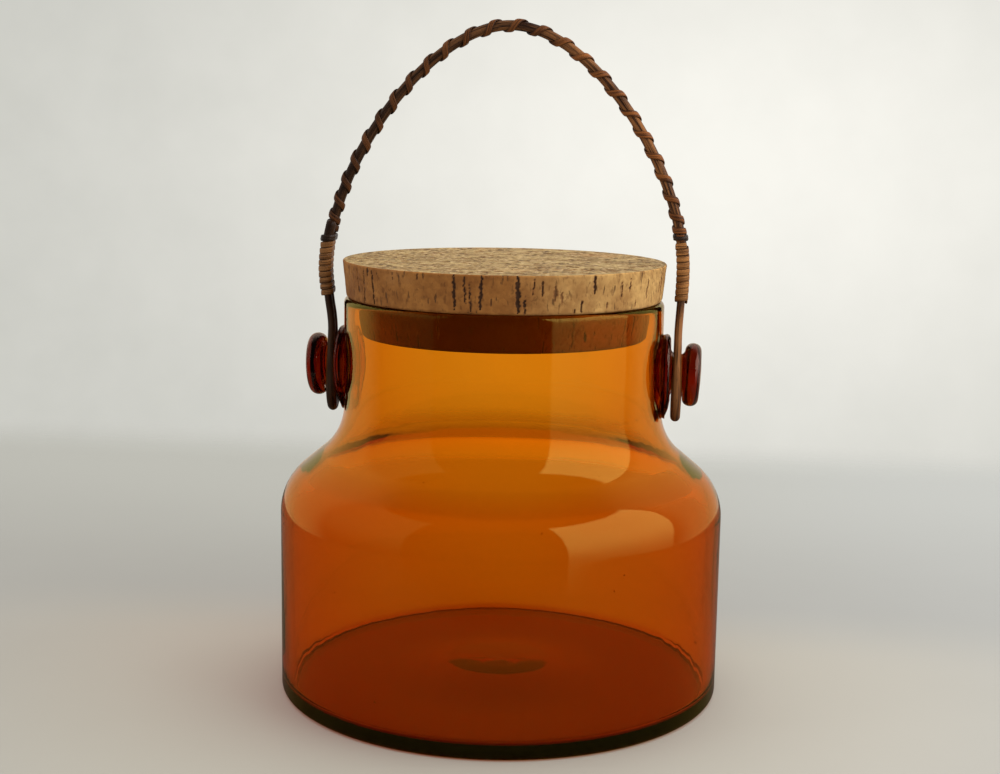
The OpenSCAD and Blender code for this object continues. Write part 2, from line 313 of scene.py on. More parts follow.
class Graph:
    """A short way to write a node tree."""

    def __init__(self, owner):
        owner.use_nodes = True
        self.tree = owner.node_tree
        self.tree.nodes.clear()

    def node(self, kind, inputs=None, **settings):
        made = self.tree.nodes.new(kind)
        for key, value in settings.items():
            setattr(made, key, value)
        for key, value in (inputs or {}).items():
            self.feed(made.inputs[key], value)
        return made

    def feed(self, socket, value):
        """Link or set a socket. A node stands for its first output, and a colour gets its alpha."""
        if isinstance(value, bpy.types.Node):
            value = value.outputs[0]
        if isinstance(value, bpy.types.NodeSocket):
            self.tree.links.new(value, socket)
        elif isinstance(value, tuple):
            socket.default_value = value + (1.0,)
        else:
            socket.default_value = value

    def chain(self, kind, values, **settings):
        """The first output of a node whose inputs get the values in order."""
        made = self.node(kind, **settings)
        for socket, value in zip(made.inputs, values):
            self.feed(socket, value)
        return made.outputs[0]

    def math(self, operation, *values, clamp=False):
        return self.chain("ShaderNodeMath", values, operation=operation, use_clamp=clamp)

    def plus(self, first, second):
        return self.math("ADD", first, second)

    def minus(self, first, second):
        return self.math("SUBTRACT", first, second)

    def larger(self, first, second):
        return self.math("MAXIMUM", first, second)

    def times(self, product, *factors):
        for factor in factors:
            product = self.math("MULTIPLY", product, factor)
        return product

    def ramp(self, value, low, high, to_low=0.0, to_high=1.0, curve="SMOOTHSTEP"):
        values = (value, low, high, to_low, to_high)
        return self.chain("ShaderNodeMapRange", values, clamp=True, interpolation_type=curve)

    def blend(self, share, first, second):
        """Two shaders mixed."""
        return self.chain("ShaderNodeMixShader", (share, first, second))

    def mix(self, share, first, second, how="MIX"):
        """Two colours mixed."""
        inputs = {0: share, 6: first, 7: second}
        return self.node("ShaderNodeMix", inputs, data_type="RGBA", blend_type=how).outputs[2]

    def dyed(self, share, colour, dye):
        """The colour multiplied by a dye, over a share of the surface."""
        return self.mix(share, colour, self.mix(1.0, colour, dye, "MULTIPLY"))

    def noise(self, vector, scale, detail=3.0, roughness=0.55):
        inputs = {"Vector": vector, "Scale": scale, "Detail": detail, "Roughness": roughness}
        return self.node("ShaderNodeTexNoise", inputs).outputs[0]

    def cells(self, vector, scale):
        """Distance to the middle of the nearest cell, and a random share for each cell."""
        made = self.node("ShaderNodeTexVoronoi", {"Vector": vector, "Scale": scale}, feature="F1")
        return made.outputs["Distance"], self.chain("ShaderNodeSeparateColor", [made.outputs["Color"]])

    def scaled(self, vector, factors):
        made = self.node("ShaderNodeMapping", {"Vector": vector})
        made.inputs["Scale"].default_value = factors
        return made.outputs[0]

    def split(self, vector):
        return tuple(self.node("ShaderNodeSeparateXYZ", {0: vector}).outputs)

    def bump(self, height, distance, strength):
        inputs = {"Height": height, "Distance": distance, "Strength": strength}
        return self.node("ShaderNodeBump", inputs).outputs[0]

    def attribute(self, name, output="Fac"):
        return self.node("ShaderNodeAttribute", attribute_name=name).outputs[output]

    def place(self):
        return self.node("ShaderNodeTexCoord").outputs["Object"]

    def finish(self, surface, volume=None):
        output = self.node("ShaderNodeOutputMaterial", {"Surface": surface})
        if volume is not None:
            self.feed(output.inputs["Volume"], volume)


def new_material(name):
    material = bpy.data.materials.new(name)
    return material, Graph(material)


# What each surface of the glass leaves of the soft light and of the lamps' light that falls through it
SURFACE_SHADE = (0.66, 0.55, 0.45)
SHADOW_SHADE = (0.90, 0.86, 0.78)
# The tint of what the jar and the knobs mirror, and of what both mirror at a grazing angle
JAR_MIRROR = (1.0, 0.78, 0.17)
KNOB_MIRROR = (1.0, 0.70, 0.58)
EDGE_TINT = (0.85, 0.68, 0.52)
GLASS_IOR = 1.5
GLASS_DENSITY = 1000.0


def glass_material(name, absorbed, tint):
    """Clear glass with a coloured body. Lamps and soft light pass through it, tinted by its depth."""
    material, g = new_material(name)
    drawn = g.noise(g.scaled(g.place(), (1.0, 1.0, 0.35)), 60.0, 2.0)
    skin = g.bump(drawn, 0.0004, 0.25)
    share = g.node("ShaderNodeFresnel", {"IOR": GLASS_IOR, "Normal": skin})
    shine = g.mix(g.ramp(share, 0.05, 0.6), tint, EDGE_TINT)
    clear = {"Color": (1.0, 1.0, 1.0), "Roughness": 0.0, "IOR": GLASS_IOR, "Normal": skin}
    bent = g.node("ShaderNodeBsdfRefraction", clear)
    mirror = g.node("ShaderNodeBsdfGlossy", {"Color": shine, "Roughness": 0.0, "Normal": skin})
    glass = g.blend(share, bent, mirror)
    ray = g.node("ShaderNodeLightPath")
    shade = g.mix(ray.outputs["Is Shadow Ray"], SURFACE_SHADE, SHADOW_SHADE)
    through = g.node("ShaderNodeBsdfTransparent", {"Color": shade})
    soft = g.larger(ray.outputs["Is Shadow Ray"], ray.outputs["Is Diffuse Ray"])
    # where two pieces of glass are melted together, there is no surface to see
    joined = g.blend(g.attribute("melted"), glass, g.node("ShaderNodeBsdfTransparent"))
    inside = g.node("ShaderNodeVolumeAbsorption", {"Color": absorbed, "Density": GLASS_DENSITY})
    g.finish(g.blend(soft, joined, through), inside)
    return material


def cork_material():
    """Cork with dark grains, pale grains that are partly painted highlight, pits and cracks, dashes on its
    top and flecks on its side, a top painted greyer by light and painted shade on its left and on the plug.
    """
    material, g = new_material("cork")
    place = g.place()
    x, _, z = g.split(place)
    pit = g.attribute("pit")
    top = g.attribute("top")
    side = g.minus(1.0, top)
    tone = g.ramp(g.noise(place, 90.0, 4.0, 0.6), 0.32, 0.68)
    pale = g.mix(tone, (0.40, 0.205, 0.064), (0.62, 0.365, 0.126))
    # the top's greyer colour is painted light, for the pale light that grazes it
    grey_lit_top = g.mix(tone, (0.22, 0.138, 0.050), (0.46, 0.322, 0.132))
    grain_distance, grain_share = g.cells(place, 700.0)
    colour = g.mix(g.times(grain_share, 0.3), g.mix(top, pale, grey_lit_top), (0.20, 0.085, 0.026))
    # pale grains on the top only, partly real grain and partly painted highlight where the light falls
    pale_grain_glint = g.ramp(g.noise(place, 650.0, 2.0), 0.54, 0.68, 0.0, 0.7)
    colour = g.mix(g.times(pale_grain_glint, top), colour, (0.66, 0.46, 0.24))
    dark_grain = g.noise(g.scaled(place, (1.0, 1.0, 0.6)), 520.0, 3.0, 0.65)
    colour = g.mix(g.ramp(dark_grain, 0.55, 0.68, 0.0, 0.5), colour, (0.15, 0.060, 0.018))
    # painted shade makes the left of the cap's side darker and browner
    left_shade_share = g.times(g.ramp(x, 0.004, 0.034, 1.0, 0.0), side)
    colour = g.dyed(left_shade_share, colour, (0.60, 0.42, 0.27))
    # painted shade darkens the plug, most of all across its middle
    plug = g.ramp(z, (RIM_Z - 0.3) * MM, RIM_Z * MM, 1.0, 0.0)
    off = g.math("ABSOLUTE", g.plus(x, 0.003))
    plug_shade = g.times(plug, g.ramp(off, 0.012, 0.036, 0.93, 0.35))
    colour = g.mix(plug_shade, colour, (0.075, 0.004, 0.002))
    # short dark dashes on the top, lying along X
    drift = g.node("ShaderNodeCombineXYZ", {1: g.times(g.noise(place, 160.0, 2.0), 0.006)})
    wavy = g.node("ShaderNodeVectorMath", {0: place, 1: drift}, operation="ADD")
    dash_distance, dash_share = g.cells(g.scaled(wavy, (330.0, 900.0, 330.0)), 1.0)
    size = g.ramp(dash_share, 0.15, 1.0, 0.0, 0.55, "LINEAR")
    dash = g.times(g.ramp(g.minus(size, dash_distance), 0.0, 0.12), top)
    # fine upright flecks on the side
    upright = g.noise(g.scaled(place, (900.0, 900.0, 160.0)), 1.0, 2.0, 0.6)
    fleck = g.times(g.ramp(upright, 0.62, 0.72), side)
    halo = g.times(g.ramp(pit, 0.0, 0.12), 0.75)
    colour = g.mix(halo, colour, (0.20, 0.075, 0.022))
    dark = g.larger(g.times(dash, 0.9), g.times(fleck, 0.7))
    dark = g.larger(dark, g.ramp(pit, 0.10, 0.5))
    colour = g.mix(dark, colour, (0.050, 0.020, 0.008))
    rust = g.ramp(g.noise(place, 45.0, 3.0), 0.55, 0.75, 0.0, 0.35)
    shader = g.node("ShaderNodeBsdfPrincipled", {
        "Base Color": g.mix(rust, colour, (0.36, 0.17, 0.065)),
        "Roughness": 0.82,
        "Specular IOR Level": 0.25,
        "Normal": g.bump(g.minus(g.times(grain_distance, -0.3), dark), 0.00045, 0.9),
    })
    g.finish(shader)
    return material


# The colour that painted shade darkens the left of the handle towards
LEFT_SHADE_FIBRE = (0.016, 0.006, 0.002)


def fibre_material(name, dark, pale, edge, streak, sheen, left_shade_depth):
    """Rattan cane or its peel: fine streaks along its length, a worn gloss, dark spots, painted shade at its
    edges and painted shade on the handle's left.
    """
    material, g = new_material(name)
    flow = g.attribute("flow", "Vector")
    place = g.place()
    fine = g.noise(g.scaled(flow, (60.0, streak, streak)), 1.0, 3.0, 0.6)
    tone = g.plus(g.times(fine, 0.65), g.times(g.noise(place, 55.0, 2.0), 0.35))
    colour = g.mix(g.ramp(tone, 0.40, 0.60), dark, pale)
    # painted shade at the strip's edges, for the grooves between its turns
    colour = g.mix(g.times(g.attribute("edge"), 0.85), colour, edge)
    spots = g.ramp(g.noise(g.scaled(flow, (500.0, 1400.0, 1400.0)), 1.0, 1.0), 0.66, 0.74)
    colour = g.mix(g.times(spots, 0.5), colour, edge)
    # painted shade darkens the left of the handle
    left_shade_share = g.ramp(g.split(place)[0], -0.064, 0.05, left_shade_depth, 0.0)
    shader = g.node("ShaderNodeBsdfPrincipled", {
        "Base Color": g.mix(left_shade_share, colour, LEFT_SHADE_FIBRE),
        "Roughness": g.ramp(fine, 0.3, 0.7, 0.45, 0.63),
        "Specular IOR Level": 0.2,
        "Coat Weight": sheen,
        "Coat Roughness": 0.3,
        "Normal": g.bump(fine, 0.00012, 0.6),
    })
    g.finish(shader)
    return material


# ======== the glass body ========

def sag_at(turn):
    """How far the lip of a pad sags, at an angle about the knob's axis."""
    down = np.clip(-np.sin(turn), 0, 1)
    return (DRIP_DOWN + DRIP_R - PAD_R) * down ** 7


def melted_faces(piece, is_melted):
    """1 for each face of which every corner lies where the glass is melted together, else 0."""
    return [float(all(is_melted[i] for i in face.vertices)) for face in piece.data.polygons]


# A guessed lump of glass where the rod held the jar, under the floor and off its middle
LUMP_R = 19.5
LUMP_AT = (-1.2, 12.5)
LUMP_T = 1.9


def kick_curve(z0, steps=30):
    """The push-up, from the middle outwards."""
    radii = np.linspace(0, KICK_R, steps + 1)
    return np.stack([radii, z0 + KICK_H * (1 + np.cos(np.pi * radii / KICK_R)) / 2], -1)


def jar_profile():
    """Outline of the glass from the middle of its foot, up the outside and down the inside."""
    shoulder = (BODY_R - SHOULDER_ROUND, SIDE_H)
    throat = (NECK_R + THROAT_ROUND, NECK_Z)
    outside = np.vstack([
        kick_curve(0),
        arc((BODY_R - FOOT_ROUND, FOOT_ROUND), FOOT_ROUND, -90, 0, 10),
        arc(shoulder, SHOULDER_ROUND, 0, SHOULDER_SLOPE, 22),
        arc(throat, THROAT_ROUND, 180 + SHOULDER_SLOPE, 180, 22),
        arc((NECK_R - RIM_OUT_ROUND, RIM_Z - RIM_OUT_ROUND), RIM_OUT_ROUND, 0, 90, 10),
    ])
    inside = np.vstack([
        arc((BORE_R + RIM_IN_ROUND, RIM_Z - RIM_IN_ROUND), RIM_IN_ROUND, 90, 180, 5),
        arc(throat, THROAT_ROUND + NECK_WALL_T, 180, 180 + SHOULDER_SLOPE, 22),
        arc(shoulder, SHOULDER_ROUND - WALL_T, SHOULDER_SLOPE, 0, 22),
        arc((BODY_R - WALL_T - FLOOR_ROUND, FLOOR_T + FLOOR_ROUND), FLOOR_ROUND, 0, -90, 12),
        kick_curve(FLOOR_T)[::-1],
    ])
    return densified(outside, 3.0), densified(inside, 3.0)


# Bubbles in the wall that the photograph shows: angle about the axis, height, radius, stretch upwards
SEEDS = [
    (-74.5, 74.9, 0.22, 1.2), (-53.6, 59.8, 0.24, 1.6), (-56.3, 54.9, 0.22, 1.8),
    (-77.2, 50.2, 0.2, 1.4), (-92.2, 22.7, 0.3, 1.0), (-25.5, 86.1, 0.25, 1.2), (-115.5, 15.0, 0.35, 1.0),
]


def small_ball(centre, radius, stretch, rings=6, sides=10):
    """An inside-out ball, for a bubble of air in the glass."""
    profile = arc((0, 0), radius, -90, 90, rings) * np.array([1, stretch])
    points, faces = turned_body(*turned_grid(profile, sides), *profile[[0, -1], 1])
    return centre + points, [face[::-1] for face in faces]


def glass_radius_at(z):
    """Middle of the wall of the glass at a height."""
    outside = jar_profile()[0]
    keep = outside[outside[:, 0] > NECK_R - 1]
    order = np.argsort(keep[:, 1])
    return float(np.interp(z, keep[order, 1], keep[order, 0])) - WALL_T / 2


MORE_SEEDS = 16
JAR_SEGMENTS = 256
# How much narrower the visible glass is than its solid, and how far its outer and inner side wander
SKIN_INSET = 0.03
OUTER_WANDER = 0.02
INNER_WANDER = 0.14
# The least room between the lump and what the jar stands on
LUMP_CLEAR = 0.1


def build_jar(material):
    """The blown body, with a lump under its floor and bubbles in its wall."""
    outside, inside = jar_profile()
    profile = np.vstack([outside, inside])
    turns, radii, heights = turned_grid(profile, JAR_SEGMENTS)
    # a hand-blown wall is a little uneven, most of all on its inside
    inner = np.arange(1, len(profile) - 1)[:, None] >= len(outside)
    wave = (
        np.sin(3 * turns + heights / 19.0 + 0.7)
        + 0.7 * np.sin(5 * turns - heights / 13.0 + 2.1)
        + 0.5 * np.sin(9 * turns + heights / 31.0)
    ) / 2.2
    reach = ease((radii - KICK_R) / 20)
    upright = ease((heights - FLOOR_T - 2) / 10) * ease((RIM_Z - 4 - heights) / 6)
    wander = np.where(inner, INNER_WANDER, OUTER_WANDER) * wave * upright
    radii = radii - SKIN_INSET + (wander - OUTER_WANDER) * reach
    points, faces = turned_body(turns, radii, heights, *profile[[0, -1], 1])
    off = np.hypot(points[:, 0] - LUMP_AT[0], points[:, 1] - LUMP_AT[1])
    under = (points[:, 2] < KICK_H + LUMP_CLEAR) & (off < LUMP_R)
    sunk = points[:, 2] - LUMP_T * (1 - off / LUMP_R)
    points[:, 2] = np.where(under, np.maximum(sunk, LUMP_CLEAR), points[:, 2])
    rng = np.random.default_rng(11)
    seeds = list(SEEDS)
    for _ in range(MORE_SEEDS):
        spot = (rng.uniform(0, 180), rng.uniform(10, 95))
        seeds.append(spot + (rng.uniform(0.15, 0.32), rng.uniform(1, 1.7)))
    for angle, z, radius, stretch in seeds:
        r = glass_radius_at(z)
        turn = math.radians(angle)
        centre = np.array([r * math.cos(turn), r * math.sin(turn), z])
        ball, ball_faces = small_ball(centre, radius, stretch)
        start = len(points)
        points = np.vstack([points, ball])
        faces += [tuple(start + i for i in face) for face in ball_faces]
    piece = mesh_piece("amber_jar", points, faces, "jar", ["glass_jar"], material)
    reach = np.hypot(points[:, 1], points[:, 2] - KNOB_Z)
    turn = np.arctan2(points[:, 2] - KNOB_Z, points[:, 1] * np.sign(points[:, 0]))
    under_pad = (np.abs(points[:, 0]) > NECK_R - 2.2) & (reach < PAD_R - 0.5 + sag_at(turn))
    under_pad &= np.hypot(points[:, 0], points[:, 1]) > NECK_R - 0.4
    add_attribute(piece, "melted", "FLOAT", melted_faces(piece, under_pad), "FACE")
    return piece


# ======== the knobs ========

# The hot knobs drooped a little: their tilt in degrees, how far the pad rose and the button sank
DROOP = 2.4
PAD_RISE = 0.3
BUTTON_SINK = 0.4


def knob_profile():
    """Radius about the knob's axis, and distance out from the jar's axis."""
    root = NECK_R - 3 * PAD_T
    crown = BUTTON_FACE + BUTTON_T
    pad_mid = PAD_FACE - PAD_T / 2
    pad_edge = np.array([
        [PAD_R - 1.5, pad_mid - PAD_T * 0.9],
        [PAD_R - 0.35, pad_mid - PAD_T * 0.55],
        [PAD_R, pad_mid],
        [PAD_R - 0.35, PAD_FACE - 0.6],
        [PAD_R - 1.1, PAD_FACE - 0.15],
        [PAD_R - 2.2, PAD_FACE],
    ])
    angles = np.radians(np.linspace(-86, 88, 26))
    bulge = 3.0
    half = BUTTON_T / 2
    edge = np.stack([
        BUTTON_R - bulge + bulge * np.abs(np.cos(angles)) ** 0.8,
        BUTTON_FACE + half - 0.2 + (half - 0.2) * np.sin(angles),
    ], -1)
    top = np.array([
        [(BUTTON_R - bulge) * 0.8, crown - 0.3],
        [(BUTTON_R - bulge) * 0.5, crown - 0.12],
        [(BUTTON_R - bulge) * 0.2, crown - 0.03],
        [0, crown],
    ])
    return np.vstack([
        [[0, root], [PAD_R - 3, root]],
        pad_edge,
        arc((LOOP_R, GROOVE_X), GROOVE_R, 262, 98, 22),
        edge,
        top,
    ])


KNOB_SEGMENTS = 96
# The visible knob starts this far off the neck's skin
KNOB_OFF = 0.015


def build_knob(side, material):
    """A pad that is melted on the neck, a waist and a button, with the sag of hot glass below the pad."""
    profile = densified(knob_profile(), 0.8)
    turns, radii, out = turned_grid(profile, KNOB_SEGMENTS)
    pad_share = ease((PAD_FACE + 0.4 - out) / 1.2)
    ring = pad_share * ease((radii - WAIST_R) / 3)
    sag = sag_at(turns) * ring
    radii = radii + sag - np.abs(0.22 * np.sin(2 * turns + 0.8 * side) * ring)
    tilt = math.radians(DROOP)
    up = radii * np.sin(turns)
    lever = out - GROOVE_X
    y = radii * np.cos(turns)
    button_share = ease((out - GROOVE_X) / GROOVE_R)
    z = KNOB_Z + up * math.cos(tilt) - np.clip(lever, -3.5, 99) * math.sin(tilt)
    z = z + PAD_RISE * ring - BUTTON_SINK * button_share
    out = GROOVE_X + lever * math.cos(tilt) + up * math.sin(tilt) * button_share
    skin = np.sqrt(np.clip((NECK_R + KNOB_OFF) ** 2 - y ** 2, 0, None))
    below = np.clip(NECK_Z - z, 0, None)
    skin = skin + THROAT_ROUND - np.sqrt(np.clip(THROAT_ROUND ** 2 - below ** 2, 0, None))
    # the lip thins out towards the tip of its sag
    lip = DRIP_T * (1 - 0.6 * np.clip(sag / 4.1, 0, 1))
    out = np.where(sag > 0.3, np.minimum(out, np.maximum(skin + lip, out - sag * 0.3)), out)
    clipped = out <= skin
    points = np.stack([side * np.maximum(out, skin), side * y, z], -1).reshape(-1, 3)
    crown = profile[-1, 1]
    sunk = BUTTON_SINK + (crown - GROOVE_X) * math.sin(tilt)
    poles = [[side * (NECK_R + KNOB_OFF), 0, KNOB_Z + 0.2], [side * crown, 0, KNOB_Z - sunk]]
    points, faces = with_poles(points, poles, KNOB_SEGMENTS)
    word = "right" if side > 0 else "left"
    piece = mesh_piece(
        word + "_knob_glass", points, faces, "jar", [word + "_knob"], material
    )
    melted = np.concatenate([clipped.ravel(), [True, False]])
    add_attribute(piece, "melted", "FLOAT", melted_faces(piece, melted), "FACE")
    return piece


# ======== the cork ========

# Cracks in the side of the cap, from the photograph's left to its right:
# degrees to the right of the view, top and bottom as shares of the cap's height, width, depth
CRACKS = [
    (-61.1, 0.95, 0.25, 0.5, 0.5), (-56.5, 0.9, 0.1, 0.5, 0.6), (-53.7, 0.98, 0.75, 1.3, 0.5),
    (-50.9, 0.92, 0.05, 0.7, 0.8), (-40.3, 0.95, 0.75, 0.4, 0.4), (-29.8, 0.97, 0.8, 0.6, 0.5),
    (-16.7, 1.0, 0.1, 1.0, 0.8), (-13.1, 0.98, 0.25, 0.7, 0.6), (-11.3, 0.8, 0.02, 0.6, 0.6),
    (-7.7, 1.0, 0.12, 1.1, 0.8), (-4.2, 0.55, 0.2, 0.4, 0.4), (4.4, 1.0, 0.05, 1.5, 1.0),
    (6.7, 0.5, 0.02, 0.8, 0.8), (9.6, 0.95, 0.5, 0.5, 0.5), (12.5, 0.9, 0.45, 0.6, 0.6),
    (16.9, 0.75, 0.35, 1.6, 0.35), (19.2, 0.6, 0.3, 1.0, 0.3), (24.1, 0.15, 0.02, 0.5, 0.5),
    (26.6, 0.4, 0.05, 0.7, 0.6), (31.2, 0.98, 0.5, 1.0, 0.9), (36.8, 0.3, 0.1, 0.5, 0.4),
    (43.2, 0.9, 0.35, 0.5, 0.5), (47.3, 0.85, 0.45, 0.6, 0.6), (51.4, 0.3, 0.1, 0.5, 0.4),
    (58.3, 0.8, 0.2, 0.6, 0.5),
]


def crack_list():
    """The cracks as angle about the axis, middle and half of their height, half width, depth and slant."""
    rng = np.random.default_rng(5)
    rows = []
    for view, top, low, width, depth in CRACKS:
        middle = RIM_Z + CAP_H * (top + low) / 2
        half = CAP_H * (top - low) / 2
        rows.append((-90 + VIEW_TURN + view, middle, half, width / 2, depth, rng.uniform(-0.06, 0.06)))
    # more round the back of the cap, and on the plug
    for _ in range(70):
        angle = rng.uniform(-15, 165)
        middle = RIM_Z + CAP_H * rng.uniform(0.2, 0.9)
        half = CAP_H * rng.uniform(0.06, 0.48)
        sizes = (rng.uniform(0.2, 0.65), rng.uniform(0.3, 0.9), rng.uniform(-0.1, 0.1))
        rows.append((angle, middle, half) + sizes)
    for _ in range(60):
        angle = rng.uniform(-180, 180)
        middle = RIM_Z - PLUG_LEN * rng.uniform(0.1, 0.9)
        half = PLUG_LEN * rng.uniform(0.1, 0.45)
        sizes = (rng.uniform(0.2, 0.5), rng.uniform(0.3, 0.7), rng.uniform(-0.05, 0.05))
        rows.append((angle, middle, half) + sizes)
    return rows


def dash_list():
    """Pits in the cork's top: x, y, half length, half width, depth, direction in radians."""
    rng = np.random.default_rng(8)
    rows = []
    for _ in range(420):
        r = (NECK_R - 1.5) * math.sqrt(rng.uniform(0, 1))
        a = rng.uniform(0, 2 * math.pi)
        sizes = (rng.uniform(0.4, 1.9), rng.uniform(0.25, 0.6), rng.uniform(0.5, 1.0))
        rows.append((r * math.cos(a), r * math.sin(a)) + sizes + (rng.normal(0.1, 0.4),))
    return rows


CORK_SEGMENTS = 900


def cork_profile():
    """Outline of the stopper from the middle of the plug's end to the middle of the cap's top."""
    cap_top_r = NECK_R + CAP_OVER
    cap_low_r = cap_top_r - CAP_TAPER
    plug_top_r = BORE_R - PLUG_PLAY
    plug_low_r = plug_top_r - PLUG_TAPER
    plug_z = RIM_Z - PLUG_LEN
    cap_z = RIM_Z + CAP_H
    edge_r = cap_top_r - CORK_BEVEL
    plug = np.array([
        [0, plug_z],
        [plug_low_r - CORK_BEVEL, plug_z],
        [plug_low_r, plug_z + CORK_BEVEL],
        [plug_top_r, RIM_Z],
    ])
    side = np.vstack([
        arc((cap_low_r - CAP_ROUND, RIM_Z + CAP_ROUND), CAP_ROUND, -90, 0, 6),
        [[cap_top_r, cap_z - CORK_BEVEL]],
        arc((edge_r, cap_z - CORK_BEVEL), CORK_BEVEL, 0, 90, 4)[1:],
    ])
    top = np.array([side[-1], [0, cap_z]])
    profile = np.vstack([densified(plug, 0.9), densified(side, 0.32), densified(top, 0.5)[1:]])
    return profile, edge_r, cap_z


def crack_depths(turns, radii, heights, is_top):
    """How deep the cracks cut each point of the side."""
    pit = np.zeros_like(radii)
    angles = np.degrees(turns)
    for angle, z, half_h, half_w, depth, slant in crack_list():
        off = (angles - angle + 180) % 360 - 180
        near = np.abs(off) < 4
        arcs = np.radians(off[near]) * radii[:, near]
        dz = heights[:, near] - z
        wander = 0.13 * np.sin(dz * 1.3 + angle) + 0.09 * np.sin(dz * 3.7 + 2 * angle)
        wander = wander + 0.05 * np.sin(dz * 6.1 + 3 * angle) + slant * dz
        ragged = 0.85 + 0.3 * np.sin(dz * 1.9 + 5 * angle) + 0.22 * np.sin(dz * 4.1 + 7 * angle)
        across = np.abs(arcs - wander) / (half_w * np.clip(ragged, 0.5, 1.4))
        along = np.clip(1 - (dz / half_h) ** 2, 0, 1)
        cut = depth * np.clip(1.25 - across / np.sqrt(along + 0.02), 0, 1) * (along > 0)
        pit[:, near] = np.where(is_top[:, near], pit[:, near], np.maximum(pit[:, near], cut))
    return pit


def build_cork(material):
    """The stopper, with cracks in its side, pits in its top and a rough skin."""
    profile, edge_r, cap_z = cork_profile()
    turns, radii, heights = turned_grid(profile, CORK_SEGMENTS, -np.pi)
    is_top = (heights > cap_z - 0.05) & (radii < edge_r + 0.05)
    pit = crack_depths(turns, radii, heights, is_top)
    x0 = radii * np.cos(turns)
    y0 = radii * np.sin(turns)
    tops = np.where(is_top.all(axis=1))[0]
    for x, y, half_l, half_w, depth, turn in dash_list():
        dx = x0[tops] - x
        dy = y0[tops] - y
        along = dx * math.cos(turn) + dy * math.sin(turn)
        across = dy * math.cos(turn) - dx * math.sin(turn)
        share = np.sqrt((along / half_l) ** 2 + (across / half_w) ** 2)
        pit[tops] = np.maximum(pit[tops], depth * np.clip(1.3 - share, 0, 1))
    rng = np.random.default_rng(3)
    rough = np.zeros_like(radii)
    bumps = 26
    for _ in range(bumps):
        kx, ky, kz = rng.normal(0, 0.55, 3)
        rough += np.sin(kx * x0 + ky * y0 + kz * heights + rng.uniform(0, 6.28))
    rough = np.abs(rough) / bumps / 2
    radii = radii - ~is_top * (0.55 * pit + 0.6 * rough * (heights > RIM_Z))
    heights = heights - is_top * (0.5 * pit + 0.8 * rough)
    points, faces = turned_body(turns, radii, heights, *profile[[0, -1], 1])
    piece = mesh_piece("cork", points, faces, "stopper", ["cork_stopper"], material)
    add_attribute(piece, "pit", "FLOAT", np.concatenate([pit.ravel(), [0.0, 0.0]]))
    add_attribute(piece, "top", "FLOAT", np.concatenate([is_top.ravel().astype(float), [0.0, 1.0]]))
    return piece


# ======== the handle ========

def leg_x(side, z):
    """Where a leg's middle stands, at a height below the arch."""
    g = ease((np.asarray(z, float) - BOW_Z) / (BEND_Z - BOW_Z))
    return side * (GROOVE_X + BOW_OUT * g) - LEAN_LEFT * g


def arch_half(side, steps=90):
    """The cane from the top of a leg to the crown."""
    t = np.linspace(0, 1, steps + 1)[:, None]
    p = (
        (1 - t) ** 3 * np.array([FOOT_X, BEND_Z])
        + 3 * (1 - t) ** 2 * t * np.array([FOOT_X, BEND_Z + FOOT_PULL])
        + 3 * (1 - t) * t * t * np.array([CROWN_PULL, APEX_Z])
        + t ** 3 * np.array([0.0, APEX_Z])
    )
    u = (p[:, 1] - BEND_Z) / (APEX_Z - BEND_Z)
    x = side * p[:, 0] - LEAN_LEFT * (1 - u) + CROWN_RIGHT * u
    y = -side * LEG_Y * (1 - ease((p[:, 1] - TAIL_Z) / MERGE_LEN))
    return np.stack([x, y, p[:, 1]], -1)


def half_loop():
    """From the middle of the loop's bottom to the binding: distance from the middle, and height."""
    crotch = np.array([LEG_Y, CROTCH_UP - PINCH_LEN])
    touch = math.degrees(math.atan2(crotch[1], crotch[0]))
    touch -= math.degrees(math.acos(LOOP_R / float(np.linalg.norm(crotch))))
    rest = LOOP_R * np.array([math.cos(math.radians(touch)), math.sin(math.radians(touch))])
    down = unit(rest - crotch)
    t = np.linspace(0, 1, 9)[:, None]
    bend = (
        (1 - t) ** 2 * (crotch + CROTCH_EASE * down)
        + 2 * (1 - t) * t * crotch
        + t * t * (crotch + np.array([0, CROTCH_EASE]))
    )
    return np.vstack([
        arc((0, -LOOP_DROP), LOOP_R, -90, 0, 20),
        arc((0, 0), LOOP_R, 0, touch, 8),
        bend,
    ])


# How far the bottom of each loop swings in under its knob, left and right
LOOP_IN = {-1: 0.1, 1: 0.15}
# How far each loop is turned about its upright, in degrees
LOOP_TWIST = {-1: 6.0, 1: 0.0}


def cane_end(side):
    """The cane down a leg, round its knob and back up beside itself to the stub's end."""
    half = half_loop()
    z = KNOB_Z + half[:, 1]
    x = leg_x(side, z) - side * LOOP_IN[side] * ease((KNOB_Z - 3 - z) / 12)
    main = np.stack([x, -side * half[:, 0], z], -1)[::-1]
    tail = np.stack([x, side * half[:, 0], z], -1)[1:]
    for strand in (main, tail):
        twist = math.tan(math.radians(LOOP_TWIST[side])) * ease((KNOB_Z + CROTCH_UP - 3 - strand[:, 2]) / 10)
        strand[:, 0] -= strand[:, 1] * twist
    arch = arch_half(side)
    over = np.linspace(BEND_Z, TAIL_Z, 6)
    stub = np.stack([
        np.interp(over, arch[:, 2], arch[:, 0]),
        np.full(6, side * LEG_Y),
        over,
    ], -1)
    return np.vstack([main, tail, stub])


def arch_path():
    return np.vstack([arch_half(-1), arch_half(1)[::-1][1:]])


def wavering(run, rng, waves, slow, fast):
    """A sum of slow and fast waves along a run of lengths."""
    total = np.zeros(len(run))
    for _ in range(waves):
        total += np.sin(run * rng.uniform(slow, fast) + rng.uniform(0, 6.28))
    return total


